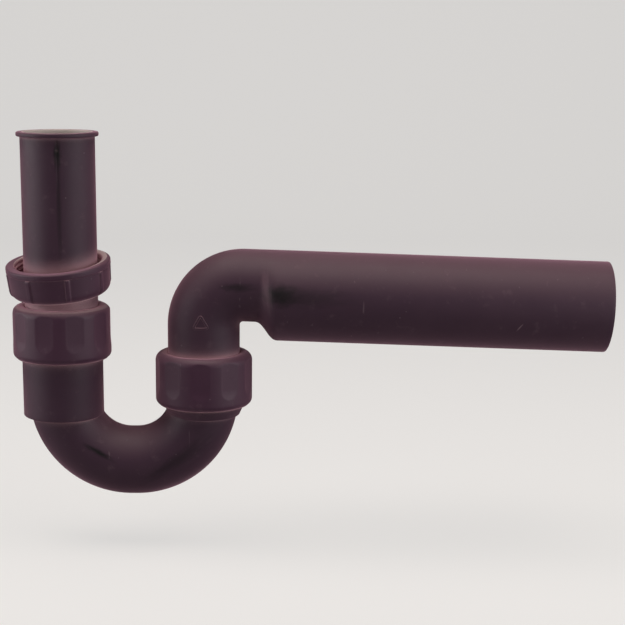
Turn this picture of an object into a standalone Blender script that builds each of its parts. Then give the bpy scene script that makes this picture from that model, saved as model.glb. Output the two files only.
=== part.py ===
"""Tubular P-trap for a waste pipe: a tail tube with a union nut, a U-bend with a clamp joint on each
arm, and an outlet elbow that widens into a long plain pipe. Metres, +Z up. The origin is the centre of
the tail tube's top face, +X runs towards the outlet."""

import math

import bmesh
import bpy
from mathutils import Vector

MM = 0.001

# Clearances and drawing
FACE_GAP = 0.3 * MM  # left between faces that touch on the real trap
OVERRUN = 3.0 * MM  # how far a cutting shape runs past what it cuts
SMOOTH_ANGLE = math.radians(32)
PIPE_SIDES = 40
NUT_SIDES = 56
RING_SIDES = 32
ARC_STEPS = 9  # rings in a quarter bend
ROUND_STEPS = 4  # points round a soft edge
SMALL_ROUND_STEPS = 3  # and round a small one

# Both arms take the same nominal pipe. The elbow's leg has it as it is, the tail tube a little over.
LEG_RADIUS = 20.0 * MM
TAIL_TUBE_OVER_LEG = 0.25 * MM

# Tail tube, which hangs from the waste outlet
INLET_RADIUS = LEG_RADIUS + TAIL_TUBE_OVER_LEG
INLET_WALL = 1.8 * MM
INLET_LENGTH = 144.8 * MM
RIM_PROUD = 2.05 * MM
RIM_RADIUS = INLET_RADIUS + RIM_PROUD
RIM_HEIGHT = 2.4 * MM
RIM_ROUND = 0.8 * MM
TUBE_END_CHAMFER = 0.8 * MM

# Union nut that draws the tail tube's rim against the waste outlet
UNION_HEIGHT = 18.0 * MM
UNION_RIM_CLEARANCE = 1.6 * MM  # so that it passes over the rim
UNION_MOUTH_RADIUS = RIM_RADIUS + UNION_RIM_CLEARANCE  # root of the one and a half inch pipe thread
UNION_WALL = 3.8 * MM
UNION_SKIRT_RADIUS = UNION_MOUTH_RADIUS + UNION_WALL
UNION_TOP_PROUD = 1.1 * MM
UNION_TOP_RADIUS = UNION_SKIRT_RADIUS + UNION_TOP_PROUD
UNION_FOOT_DRAWN_IN = 4.1 * MM
UNION_FOOT_RADIUS = UNION_SKIRT_RADIUS - UNION_FOOT_DRAWN_IN
UNION_FOOT_ROUND = 5.0 * MM
UNION_TOP_ROUND = 1.0 * MM
UNION_BAND_HEIGHT = 3.4 * MM
UNION_BAND_STEP = 0.5 * MM
UNION_FLANGE = 2.6 * MM
UNION_RIBS = 8
UNION_RIB_WIDTH = 2.4 * MM
UNION_RIB_PROUD = 0.6 * MM
UNION_RIB_SIDE = 0.3 * MM
UNION_BAY_COLUMNS = 3  # plain columns between two ribs
UNION_FOOT_SWEEP = 78  # degrees of its foot's round
UNION_RIB_TURN = math.radians(12)  # from the side that faces -Y
UNION_PITCH = math.radians(7.5)  # it hangs cocked, its mouth towards -Y
UNION_ROLL = math.radians(3.9)  # and its +X side raised
UNION_ABOVE_NUT = 7.7 * MM  # the middle of its flange above the clamp nut's top

# U-bend
BEND_TUBE_RADIUS = 19.2 * MM
BEND_WALL = 2.0 * MM
BEND_RADIUS = 37.9 * MM
BEND_FLOOR = 3.0 * MM  # straight run between the two quarter bends
SOCKET_WALL = 1.7 * MM
SOCKET_SKIRT_ROUND = 0.8 * MM
BORE_CLEARANCE = 0.45 * MM
INLET_SOCKET_DEPTH = 43.6 * MM  # from the mouth to the step that stops the tail tube
INLET_SOCKET_SKIRT = 11.5 * MM  # how far it laps the bend below that step
OUTLET_SOCKET_DEPTH = 17.7 * MM
OUTLET_SOCKET_SKIRT = 6.0 * MM
OUTLET_SOCKET_TAPER = 4.5 * MM
THREAD_PROUD = 2.0 * MM  # its crests above the socket's plain barrel
THREAD_LENGTH = 15.5 * MM
THREAD_RUN_OUT = 1.6 * MM

# Clamp joint: nut, slip ring and wedge seal, the same on both arms
NUT_WALL = 2.5 * MM  # outside its bore, which runs at the thread's root
NUT_HEIGHT = 29.5 * MM
NUT_CROWN_ROUND = 4.6 * MM
NUT_FOOT_ROUND = 3.4 * MM
NUT_FLANGE = 3.0 * MM
NUT_HOLE_CLEARANCE = 0.75 * MM
NUT_FLATS = 8
NUT_FLAT_DEPTH = 1.3 * MM
NUT_FLAT_END = 4.2 * MM  # height of the nut's plain foot below the flats
NUT_FLAT_FADE = 6.5 * MM  # over which a flat runs out into the round
NUT_FADE_STEPS = 5
NUT_CROWN_SWEEP = 80  # degrees of its crown's round
INLET_NUT_TURN = math.radians(26)
OUTLET_NUT_TURN = math.radians(3)
SLIP_RING_HEIGHT = 2.8 * MM
SLIP_RING_CLEARANCE = 0.5 * MM
SEAL_HEIGHT = 7.5 * MM
SEAL_STANDS_OUT = 0.8 * MM  # of the socket's mouth
SEAL_TOP_WALL = 2.6 * MM
SEAL_FOOT_WALL = 0.7 * MM

# Outlet elbow, its widening and the long pipe, moulded in one
LEG_ABOVE_SOCKET = 40.05 * MM  # from the socket's step to the start of the elbow
ELBOW_RADIUS = 22.0 * MM
OUTLET_FALL = math.radians(1.7)
OUTLET_WALL = 2.0 * MM
NECK_LENGTH = 5.6 * MM
WIDENING_LENGTH = 14.0 * MM
WIDENING_STEPS = 7
PIPE_RADIUS = 25.0 * MM
PIPE_LENGTH = 180.5 * MM

# Places that follow from the sizes above
BEND_TOP_Z = -INLET_LENGTH - FACE_GAP  # both socket steps and the start of the bend
ARM_SPACING = BEND_RADIUS + BEND_FLOOR + BEND_RADIUS
INLET_MOUTH_Z = BEND_TOP_Z + INLET_SOCKET_DEPTH
OUTLET_MOUTH_Z = BEND_TOP_Z + OUTLET_SOCKET_DEPTH
SLIP_RING_ABOVE_MOUTH = SEAL_STANDS_OUT + FACE_GAP
NUT_TOP_ABOVE_MOUTH = SLIP_RING_ABOVE_MOUTH + SLIP_RING_HEIGHT + FACE_GAP + NUT_FLANGE
UNION_Z = INLET_MOUTH_Z + NUT_TOP_ABOVE_MOUTH + UNION_ABOVE_NUT


def socket_radius(pipe_radius):
    return pipe_radius + BORE_CLEARANCE + SOCKET_WALL


def thread_radius(pipe_radius):
    return socket_radius(pipe_radius) + THREAD_PROUD


def nut_bore_radius(pipe_radius):
    return thread_radius(pipe_radius) + FACE_GAP


def clear_scene():
    for item in list(bpy.data.objects):
        bpy.data.objects.remove(item, do_unlink=True)


def plastic(name, colour, roughness):
    material = bpy.data.materials.new(name)
    material.use_nodes = True
    shader = material.node_tree.nodes["Principled BSDF"]
    shader.inputs["Base Color"].default_value = (*colour, 1)
    shader.inputs["Roughness"].default_value = roughness
    shader.inputs["Metallic"].default_value = 0
    return material


def add_object(name, rings, material, closed):
    """A mesh through rings of points with one count. Closed: the last ring joins the first, as round a
    pipe's wall. Open: each end is filled, as on a bar."""
    mesh = bmesh.new()
    loops = [[mesh.verts.new(point) for point in ring] for ring in rings]
    pairs = list(zip(loops, loops[1:]))
    if closed:
        pairs.append((loops[-1], loops[0]))
    for one, other in pairs:
        for i in range(len(one)):
            j = (i + 1) % len(one)
            mesh.faces.new((one[i], one[j], other[j], other[i]))
    if not closed:
        mesh.faces.new(loops[0])
        mesh.faces.new(loops[-1])
    bmesh.ops.recalc_face_normals(mesh, faces=mesh.faces)
    data = bpy.data.meshes.new(name)
    mesh.to_mesh(data)
    mesh.free()
    data.shade_smooth()
    data.set_sharp_from_angle(angle=SMOOTH_ANGLE)
    item = bpy.data.objects.new(name, data)
    bpy.context.collection.objects.link(item)
    if material:
        data.materials.append(material)
    return item


def boolean(item, tool, operation):
    tool.hide_render = True
    tool.display_type = "WIRE"
    step = item.modifiers.new(operation.title(), "BOOLEAN")
    step.operation = operation
    step.solver = "EXACT"
    step.object = tool


def circle(centre, across, along, radius, sides):
    """Points round centre, from the direction across towards the direction along."""
    turns = [2 * math.pi * i / sides for i in range(sides)]
    return [centre + radius * (math.cos(t) * across + math.sin(t) * along) for t in turns]


def turned_rings(profile, sides):
    """Rings round the Z axis, one for each (radius, height) of the profile."""
    x, y = Vector((1, 0, 0)), Vector((0, 1, 0))
    return [circle(Vector((0, 0, height)), x, y, radius, sides) for radius, height in profile]


def rounded(centre, radius, start, end, steps=ROUND_STEPS):
    """(radius, height) points on an arc about centre, from angle start to angle end in degrees."""
    points = []
    for i in range(steps + 1):
        angle = math.radians(start + (end - start) * i / steps)
        points.append((centre[0] + radius * math.cos(angle), centre[1] + radius * math.sin(angle)))
    return points


def swept_rings(stations, sides):
    """Rings across a path in the XZ plane. A station is (centre x, centre z, heading, radius)."""
    rings = []
    for x, z, heading, radius in stations:
        across = Vector((-math.sin(heading), 0, math.cos(heading)))
        rings.append(circle(Vector((x, 0, z)), across, Vector((0, 1, 0)), radius, sides))
    return rings


def inlet_tube(material):
    """The tail tube: a plain pipe with a flat, rounded rim that the union nut catches."""
    bore = INLET_RADIUS - INLET_WALL
    rim_top = (RIM_RADIUS - RIM_ROUND, -RIM_ROUND)
    rim_foot = (RIM_RADIUS - RIM_ROUND, RIM_ROUND - RIM_HEIGHT)
    profile = [(bore, 0)]
    profile += rounded(rim_top, RIM_ROUND, 90, 0, SMALL_ROUND_STEPS)
    profile += rounded(rim_foot, RIM_ROUND, 0, -90, SMALL_ROUND_STEPS)
    profile += [
        (INLET_RADIUS, -RIM_HEIGHT),
        (INLET_RADIUS, TUBE_END_CHAMFER - INLET_LENGTH),
        (INLET_RADIUS - TUBE_END_CHAMFER, -INLET_LENGTH),
        (bore, -INLET_LENGTH),
    ]
    return add_object("inlet_tube", turned_rings(profile, PIPE_SIDES), material, True)


def union_hole_radius():
    """The flange's hole, wide enough for the cocked nut to stand on the tail tube with FACE_GAP."""
    tilt = math.acos(math.cos(UNION_PITCH) * math.cos(UNION_ROLL))
    half_flange = UNION_FLANGE / 2
    return (INLET_RADIUS + FACE_GAP + half_flange * math.sin(tilt)) / math.cos(tilt)


def union_profile():
    """(radius, height, carries a rib) round the union nut's section. Height 0 is mid flange."""
    foot = -UNION_FLANGE / 2
    top = foot + UNION_HEIGHT
    band = top - UNION_BAND_HEIGHT
    under_band = UNION_TOP_RADIUS - UNION_BAND_STEP
    round_centre = (UNION_SKIRT_RADIUS - UNION_FOOT_ROUND, foot + UNION_FOOT_ROUND)
    top_centre = (UNION_TOP_RADIUS - UNION_TOP_ROUND, top - UNION_TOP_ROUND)
    points = [(UNION_MOUTH_RADIUS, top, False)]
    points += [(r, z, False) for r, z in rounded(top_centre, UNION_TOP_ROUND, 90, 0, SMALL_ROUND_STEPS)]
    points += [(UNION_TOP_RADIUS, band + UNION_BAND_STEP, False)]
    points += [(under_band, band, False), (under_band, band - UNION_RIB_SIDE, True)]
    skirt = rounded(round_centre, UNION_FOOT_ROUND, 0, -UNION_FOOT_SWEEP)
    points += [(r, z, True) for r, z in skirt[:-1]]
    points += [(r, z, False) for r, z in skirt[-1:]]
    points += [
        (UNION_FOOT_RADIUS - UNION_BAND_STEP, foot, False),
        (union_hole_radius(), foot, False),
        (union_hole_radius(), foot + UNION_FLANGE, False),
        (UNION_MOUTH_RADIUS, foot + UNION_FLANGE, False),
    ]
    return points


def union_columns():
    """(angle, on a rib) round the union nut. Each rib has two columns on top and two at its foot."""
    half_top = (UNION_RIB_WIDTH / 2 - UNION_RIB_SIDE) / UNION_SKIRT_RADIUS
    half_foot = UNION_RIB_WIDTH / 2 / UNION_SKIRT_RADIUS
    pitch = 2 * math.pi / UNION_RIBS
    bay = (pitch - 2 * half_foot) / (UNION_BAY_COLUMNS + 1)
    columns = []
    for k in range(UNION_RIBS):
        centre = UNION_RIB_TURN - math.pi / 2 + k * pitch
        columns += [(centre - half_foot, False), (centre - half_top, True)]
        columns += [(centre + half_top, True), (centre + half_foot, False)]
        columns += [(centre + half_foot + bay * (i + 1), False) for i in range(UNION_BAY_COLUMNS)]
    return columns


def union_nut(material):
    """The captive union nut, mouth up. It stands cocked on the tail tube."""
    rings = []
    for radius, height, carries in union_profile():
        ring = []
        for angle, on_rib in union_columns():
            reach = radius + (UNION_RIB_PROUD if carries and on_rib else 0)
            ring.append(Vector((reach * math.cos(angle), reach * math.sin(angle), height)))
        rings.append(ring)
    nut = add_object("union_nut", rings, material, True)
    nut.location = (0, 0, UNION_Z)
    nut.rotation_euler = (UNION_PITCH, -UNION_ROLL, 0)
    return nut


def bend_stations(radius, run_up):
    """Stations down one arm, round the bend and up the other, with a straight run_up at each end."""
    down, right, up = -math.pi / 2, 0, math.pi / 2
    far = ARM_SPACING
    stations = [(0, BEND_TOP_Z + run_up, down, radius)]
    for centre_x, start, end in ((BEND_RADIUS, down, right), (far - BEND_RADIUS, right, up)):
        for i in range(ARC_STEPS + 1):
            heading = start + (end - start) * i / ARC_STEPS
            x = centre_x + BEND_RADIUS * math.sin(heading)
            z = BEND_TOP_Z - BEND_RADIUS * math.cos(heading)
            stations.append((x, z, heading, radius))
    stations.append((far, BEND_TOP_Z + run_up, up, radius))
    return stations


def socket_body(name, x, mouth_z, pipe_radius, skirt):
    """A solid socket round one arm: the thread's barrel, then the plain barrel that laps the bend.
    skirt is the profile of its lower end."""
    crest = thread_radius(pipe_radius)
    thread_end = mouth_z - THREAD_LENGTH
    profile = [(crest - SOCKET_SKIRT_ROUND, mouth_z), (crest, mouth_z - SOCKET_SKIRT_ROUND)]
    profile += [(crest, thread_end), (socket_radius(pipe_radius), thread_end - THREAD_RUN_OUT)] + skirt
    body = add_object(name, turned_rings(profile, PIPE_SIDES), None, False)
    body.location.x = x
    return body


def socket_bore(name, x, mouth_z, pipe_radius):
    """The room inside a socket: the seal's cone, then the bore down to the step."""
    seal_foot_z = mouth_z + SEAL_STANDS_OUT - SEAL_HEIGHT
    seal_inner = pipe_radius + FACE_GAP
    wide, narrow = seal_inner + SEAL_TOP_WALL + FACE_GAP, seal_inner + SEAL_FOOT_WALL + FACE_GAP
    bore = pipe_radius + BORE_CLEARANCE
    profile = [(wide, mouth_z + OVERRUN), (wide, mouth_z), (narrow, seal_foot_z - FACE_GAP)]
    profile += [(bore, seal_foot_z - FACE_GAP), (bore, BEND_TOP_Z)]
    room = add_object(name, turned_rings(profile, PIPE_SIDES), None, False)
    room.location.x = x
    return room


def u_bend(material):
    """The water-holding bend, one moulding with a long inlet socket and a short outlet socket."""
    outside = swept_rings(bend_stations(BEND_TUBE_RADIUS, OVERRUN), PIPE_SIDES)
    solid = add_object("u_bend", outside, material, False)
    inlet_barrel, outlet_barrel = socket_radius(INLET_RADIUS), socket_radius(LEG_RADIUS)
    foot = BEND_TOP_Z - INLET_SOCKET_SKIRT
    inlet_skirt = [(inlet_barrel, foot + SOCKET_SKIRT_ROUND), (inlet_barrel - SOCKET_SKIRT_ROUND, foot)]
    taper_z = BEND_TOP_Z - OUTLET_SOCKET_SKIRT
    lap = BEND_TUBE_RADIUS + SOCKET_SKIRT_ROUND
    outlet_skirt = [(outlet_barrel, taper_z), (lap, taper_z - OUTLET_SOCKET_TAPER)]
    arms = (
        ("inlet", 0, INLET_MOUTH_Z, INLET_RADIUS, inlet_skirt),
        ("outlet", ARM_SPACING, OUTLET_MOUTH_Z, LEG_RADIUS, outlet_skirt),
    )
    for side, x, mouth_z, pipe_radius, skirt in arms:
        boolean(solid, socket_body(side + "_socket_body", x, mouth_z, pipe_radius, skirt), "UNION")
    inside = swept_rings(bend_stations(BEND_TUBE_RADIUS - BEND_WALL, OVERRUN), RING_SIDES)
    boolean(solid, add_object("bend_bore", inside, None, False), "DIFFERENCE")
    for side, x, mouth_z, pipe_radius, skirt in arms:
        boolean(solid, socket_bore(side + "_socket_bore", x, mouth_z, pipe_radius), "DIFFERENCE")
    return solid


def flat_barrel(name, foot_z, radius):
    """An eight-sided bar whose sides cut the nut's flats. Below, the sides run out past the round."""
    plain = radius + FACE_GAP
    flat = radius - NUT_FLAT_DEPTH
    fade_z = foot_z + NUT_FLAT_END
    levels = [(plain, foot_z - OVERRUN)]
    for i in range(NUT_FADE_STEPS + 1):
        share = i / NUT_FADE_STEPS
        apothem = plain + (flat - plain) * math.sin(math.pi / 2 * share)
        levels.append((apothem, fade_z + NUT_FLAT_FADE * share))
    levels.append((flat, foot_z + NUT_HEIGHT + OVERRUN))
    corner = 1 / math.cos(math.pi / NUT_FLATS)
    profile = [(apothem * corner, height) for apothem, height in levels]
    return add_object(name, turned_rings(profile, NUT_FLATS), None, False)


def clamp_nut(name, x, mouth_z, pipe_radius, turn, material):
    """A clamp nut with eight soft flats and a domed crown, screwed down over the socket."""
    top = mouth_z + NUT_TOP_ABOVE_MOUTH
    foot = top - NUT_HEIGHT
    hole = pipe_radius + NUT_HOLE_CLEARANCE
    bore = nut_bore_radius(pipe_radius)
    radius = bore + NUT_WALL
    crown = (radius - NUT_CROWN_ROUND, top - NUT_CROWN_ROUND)
    heel = (radius - NUT_FOOT_ROUND, foot + NUT_FOOT_ROUND)
    profile = [(hole, top)] + rounded(crown, NUT_CROWN_ROUND, NUT_CROWN_SWEEP, 0)
    profile += [point for point in rounded(heel, NUT_FOOT_ROUND, 0, -90) if point[0] > bore + FACE_GAP]
    profile += [(bore, foot), (bore, top - NUT_FLANGE), (hole, top - NUT_FLANGE)]
    nut = add_object(name, turned_rings(profile, NUT_SIDES), material, True)
    nut.location.x = x
    barrel = flat_barrel(name + "_flats", foot, radius)
    barrel.location.x = x
    barrel.rotation_euler.z = turn - math.pi / 2 + math.pi / NUT_FLATS
    boolean(nut, barrel, "INTERSECT")
    return nut


def slip_ring(name, x, mouth_z, pipe_radius, material):
    """The loose ring that lets the nut turn without dragging the seal round."""
    foot = mouth_z + SLIP_RING_ABOVE_MOUTH
    top = foot + SLIP_RING_HEIGHT
    inner, outer = pipe_radius + SLIP_RING_CLEARANCE, nut_bore_radius(pipe_radius) - SLIP_RING_CLEARANCE
    profile = [(inner, top), (outer, top), (outer, foot), (inner, foot)]
    ring = add_object(name, turned_rings(profile, RING_SIDES), material, True)
    ring.location.x = x
    return ring


def wedge_seal(name, x, mouth_z, pipe_radius, material):
    """The rubber wedge seal, seated in the cone of the socket's mouth."""
    top = mouth_z + SEAL_STANDS_OUT
    foot = top - SEAL_HEIGHT
    inner = pipe_radius + FACE_GAP
    wide, narrow = inner + SEAL_TOP_WALL, inner + SEAL_FOOT_WALL
    profile = [(inner, top), (wide, top), (wide, mouth_z), (narrow, foot), (inner, foot)]
    seal = add_object(name, turned_rings(profile, RING_SIDES), material, True)
    seal.location.x = x
    return seal


def outlet_stations(inset):
    """Stations up the leg, round the elbow, along the neck and the widening to the pipe's end. inset is
    how far inside the outer skin they lie. The widening keeps the top flush and drops the underside."""
    leg_end_z = BEND_TOP_Z + FACE_GAP
    elbow_z = BEND_TOP_Z + LEG_ABOVE_SOCKET
    leg = LEG_RADIUS - inset
    end_cut = max(0, TUBE_END_CHAMFER - inset)
    stations = [(ARM_SPACING, leg_end_z, math.pi / 2, leg - end_cut)]
    if end_cut:
        stations.append((ARM_SPACING, leg_end_z + end_cut, math.pi / 2, leg))
    turn = math.pi / 2 + OUTLET_FALL
    for i in range(ARC_STEPS + 1):
        heading = math.pi / 2 - turn * i / ARC_STEPS
        x = ARM_SPACING + ELBOW_RADIUS - ELBOW_RADIUS * math.sin(heading)
        z = elbow_z + ELBOW_RADIUS * math.cos(heading)
        stations.append((x, z, heading, leg))
    heading = -OUTLET_FALL
    start_x, start_z = stations[-1][:2]
    shares = [i / WIDENING_STEPS for i in range(WIDENING_STEPS + 1)]
    runs = [(NECK_LENGTH + WIDENING_LENGTH * share, share) for share in shares]
    runs.append((NECK_LENGTH + WIDENING_LENGTH + PIPE_LENGTH, 1))
    for run, share in runs:
        eased = share**3 * (10 - 15 * share + 6 * share**2)  # level at both ends, with no kink
        growth = (PIPE_RADIUS - LEG_RADIUS) * eased
        x = start_x + run * math.cos(heading) + growth * math.sin(heading)
        z = start_z + run * math.sin(heading) - growth * math.cos(heading)
        stations.append((x, z, heading, leg + growth))
    return stations


def outlet_elbow(material):
    """The outlet elbow, eccentric widening and long pipe: one hollow moulding."""
    outside = swept_rings(outlet_stations(0), PIPE_SIDES)
    inside = swept_rings(outlet_stations(OUTLET_WALL), PIPE_SIDES)
    return add_object("outlet_elbow", outside + inside[::-1], material, True)


def build():
    clear_scene()
    tube_plastic = plastic("tube_plastic", (0.15, 0.085, 0.105), 0.38)
    nut_plastic = plastic("nut_plastic", (0.13, 0.07, 0.095), 0.34)
    ring_plastic = plastic("ring_plastic", (0.6, 0.58, 0.55), 0.4)
    rubber = plastic("rubber", (0.02, 0.02, 0.02), 0.7)
    inlet_tube(tube_plastic)
    union_nut(nut_plastic)
    u_bend(tube_plastic)
    outlet_elbow(tube_plastic)
    joints = (
        ("inlet", 0, INLET_MOUTH_Z, INLET_RADIUS, INLET_NUT_TURN),
        ("outlet", ARM_SPACING, OUTLET_MOUTH_Z, LEG_RADIUS, OUTLET_NUT_TURN),
    )
    for side, x, mouth_z, pipe_radius, turn in joints:
        clamp_nut(side + "_clamp_nut", x, mouth_z, pipe_radius, turn, nut_plastic)
        slip_ring(side + "_slip_ring", x, mouth_z, pipe_radius, ring_plastic)
        wedge_seal(side + "_seal", x, mouth_z, pipe_radius, rubber)


build()
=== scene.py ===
# %% [markdown]
# A tubular P-trap in satin moulded plastic
# The trap hangs under a basin or an appliance and holds a little water in its bend, which keeps the
# drain's air out. This lesson dresses its CAD frame: each solid that shows is rebuilt as a fine moulding
# with soft edges and real threads, and each gets the plastic it is made of. Sizes are in millimetres
# until a mesh is made.

import math

import bpy
import numpy as np
from mathutils import Euler, Matrix, Vector


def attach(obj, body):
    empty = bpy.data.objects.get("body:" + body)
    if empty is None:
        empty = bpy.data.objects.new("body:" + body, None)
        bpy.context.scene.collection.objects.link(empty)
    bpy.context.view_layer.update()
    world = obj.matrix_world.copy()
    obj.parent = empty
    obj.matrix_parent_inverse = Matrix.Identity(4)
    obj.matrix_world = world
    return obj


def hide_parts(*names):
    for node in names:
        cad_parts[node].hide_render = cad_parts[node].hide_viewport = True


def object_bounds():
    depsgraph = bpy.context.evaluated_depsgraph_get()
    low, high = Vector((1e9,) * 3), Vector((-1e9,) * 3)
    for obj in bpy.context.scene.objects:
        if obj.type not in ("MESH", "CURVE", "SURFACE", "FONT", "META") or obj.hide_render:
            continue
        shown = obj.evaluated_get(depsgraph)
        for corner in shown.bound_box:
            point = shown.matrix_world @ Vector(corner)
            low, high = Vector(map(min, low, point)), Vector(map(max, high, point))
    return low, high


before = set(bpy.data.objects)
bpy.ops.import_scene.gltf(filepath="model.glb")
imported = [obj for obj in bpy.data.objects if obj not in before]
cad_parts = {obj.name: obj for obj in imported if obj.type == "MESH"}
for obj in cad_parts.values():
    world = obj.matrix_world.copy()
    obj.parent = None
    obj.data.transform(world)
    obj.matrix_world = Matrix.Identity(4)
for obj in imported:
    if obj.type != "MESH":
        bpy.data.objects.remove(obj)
cad_low, cad_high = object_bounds()
MM = 0.001
print("CAD box in mm:", [round(side / MM, 1) for side in cad_high - cad_low])

# %% [markdown]
# The camera
# The photograph looks down a little on the trap from its front, with a long lens. A camera could be
# placed by eye, but a few known sizes fix it better: the place, the tilt and the lens below bring the
# arms, the nuts and the pipe's end where the photograph has them. The picture is 625 pixels square, and
# its centre isn't where the lens pointed, so a small shift of the lens does what the crop did.

# %% Place the camera
PICTURE = 625
SENSOR = 36.0
LENS_PIXELS = 1556.8
AIM = Vector((111.7, 0, -158.8)) * MM
DISTANCE = 877.5 * MM
AZIMUTH, ELEVATION, ROLL = (math.radians(angle) for angle in (0.2, 13.8, 0.31))
SHIFT_PIXELS = (50, 106)

camera = bpy.data.objects.new("camera", bpy.data.cameras.new("camera"))
bpy.context.scene.collection.objects.link(camera)
bpy.context.scene.camera = camera
camera.data.sensor_width = SENSOR
camera.data.lens = SENSOR * LENS_PIXELS / PICTURE
camera.data.shift_x, camera.data.shift_y = (pixels / PICTURE for pixels in SHIFT_PIXELS)
ground_reach = math.cos(ELEVATION)
back = Vector((math.sin(AZIMUTH) * ground_reach, -math.cos(AZIMUTH) * ground_reach, math.sin(ELEVATION)))
level = Vector((math.cos(AZIMUTH), math.sin(AZIMUTH), 0))
upright = back.cross(level)
right = level * math.cos(ROLL) + upright * math.sin(ROLL)
up = upright * math.cos(ROLL) - level * math.sin(ROLL)
facing = Matrix((right, up, back)).transposed().to_4x4()
camera.matrix_world = Matrix.Translation(AIM + back * DISTANCE) @ facing
print("lens in mm:", round(camera.data.lens, 1))

# %% [markdown]
# Helpers for finishes
# Plastic makers give colours as screen values, while Blender's shaders want linear light. One function
# turns one into the other. A finish is a chain of nodes. One function adds any node with its settings and
# its links, and four short ones use it for the kinds that come back all the time: a mix of two colours, a
# stretched range, a calculation and a noise of a real size. So each finish below reads as a list of what
# the surface has.

# %% Colour and node helpers
def linear(code):
    """A shader colour from a screen colour such as "#6b5058"."""
    shares = [int(code[place : place + 2], 16) / 255 for place in (1, 3, 5)]
    lit = [share / 12.92 if share <= 0.04045 else ((share + 0.055) / 1.055) ** 2.4 for share in shares]
    return (*lit, 1)


def add_node(tree, kind, sockets=None, **settings):
    """Adds a node to a finish. sockets gives an input's value, or the output that feeds it."""
    node = tree.nodes.new(kind)
    for name, value in settings.items():
        setattr(node, name, value)
    for name, value in (sockets or {}).items():
        if isinstance(value, bpy.types.NodeSocket):
            tree.links.new(value, node.inputs[name])
        else:
            node.inputs[name].default_value = value
    return node


def mixed(tree, share, under, over):
    """The colour under, hidden by the colour over as far as share says."""
    return add_node(tree, "ShaderNodeMix", {0: share, 6: under, 7: over}, data_type="RGBA").outputs[2]


def stretched(tree, value, low, high, least=0.0, most=1.0, **settings):
    """Stretches low to high over least to most, and holds the ends beyond them."""
    sockets = {"Value": value, "From Min": low, "From Max": high, "To Min": least, "To Max": most}
    return add_node(tree, "ShaderNodeMapRange", sockets, **settings).outputs[0]


def calculated(tree, operation, one, other):
    """One calculation or comparison with two numbers, made anew at each spot."""
    return add_node(tree, "ShaderNodeMath", {0: one, 1: other}, operation=operation).outputs[0]


def per_metre(size):
    """The scale that gives a pattern a real size in millimetres."""
    return 1 / (size * MM)


def noise(tree, place, size, detail, roughness=0.5):
    """A cloudy pattern whose blotches are size millimetres wide."""
    sockets = {"Vector": place, "Scale": per_metre(size), "Detail": detail, "Roughness": roughness}
    return add_node(tree, "ShaderNodeTexNoise", sockets).outputs["Fac"]


print("mid grey is", round(linear("#808080")[0], 3), "in linear light")

# %% [markdown]
# Satin moulded polypropylene
# The pipes and nuts of a trap are injection moulded in polypropylene. Its surface copies the tool's:
# spark eroded to a fine satin, so a lamp spreads into a broad soft sheen with no clear picture in it. The
# colour is mixed into the plastic, a dark dusky mauve here, and drifts a little where the melt flowed. A
# flat colour would look like paint, so the wear is laid over it in weak layers, each sized in
# millimetres: pale rubs, specks of dust and fine scratches. Faces that look up are made a little paler. The
# crevices, which ambient occlusion finds, are painted pale: painted light. A dust film shows only at
# grazing angles, which is what a shader's sheen does. So the crevices and outer edges are pale and the
# fronts dark, as in the photograph. Marks are placed where the photograph has them, and the film is wiped
# away
# there: a scratch and a speck of wear, dark lines along the mould line, and painted shade and painted
# highlights where reflections fall, which are dark patches and bands and a pale band on the shoulder. The
# mouths that face up are painted pale: painted light.

# %% Make the pipe's and the nuts' polypropylene
# sizes are in mm, a range says where a pattern begins and is full, and a share is the most that it hides
FLOW, FLOW_RANGE = 26.0, (0.35, 0.65)
RUB, RUB_RANGE, RUB_SHARE = 9.0, (0.58, 0.78), 0.22
SPECK, SPECK_RANGE, SPECK_SHARE = 3.2, (0.16, 0.05), 0.3
SPECK_DRAW = 0.98  # only cells that draw more than this get a speck
SCRATCH, SCRATCH_RANGE, SCRATCH_SHARE = 2.4, (0.72, 0.76), 0.18
SCRATCH_TURN, SCRATCH_STRETCH = (0.4, 0.7, 1.1), (1, 1, 0.06)
RUBBED, SPECKLED, SCRATCHED = linear("#8a7178"), linear("#b09aa0"), linear("#a08a90")
# faces that look up are made paler
UPWARD_PALE, UPWARD_RANGE, UPWARD_SHARE = linear("#b58e8c"), (0.2, 0.9), 0.10
NOOK, NOOK_RANGE, NOOK_SHARE = 11.0, (0.9, 0.4), 0.9  # crevices where two surfaces stand this near are painted pale: painted light
NOOK_PAINTED_GLOW = linear("#bc929a")
# painted light: the mouths that face up are painted pale
MOUTH_PAINTED_GLOW, MOUTH_GLOW_SHARE = linear("#e8dcd4"), 0.9
GRAIN = 0.9  # the real grain is about 0.1 mm, too fine to show: it is drawn this coarse
GRAIN_STRENGTH, GRAIN_DEPTH = 0.10, 0.15
GLOSS_RANGE, ROUGHNESS_DRIFT = (0.3, 0.7), 0.09  # the rubs also dull the surface by the drift
MARK_RANGE, MARK_RAGGEDNESS = (0.55, 1.65), 2.5
DUST_FILM = 0.8  # its share of the light at grazing angles
FILM_TINT, FILM_ROUGHNESS = linear("#dfa8bc"), 0.45
POLYPROPYLENE_IOR = 1.49


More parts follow.
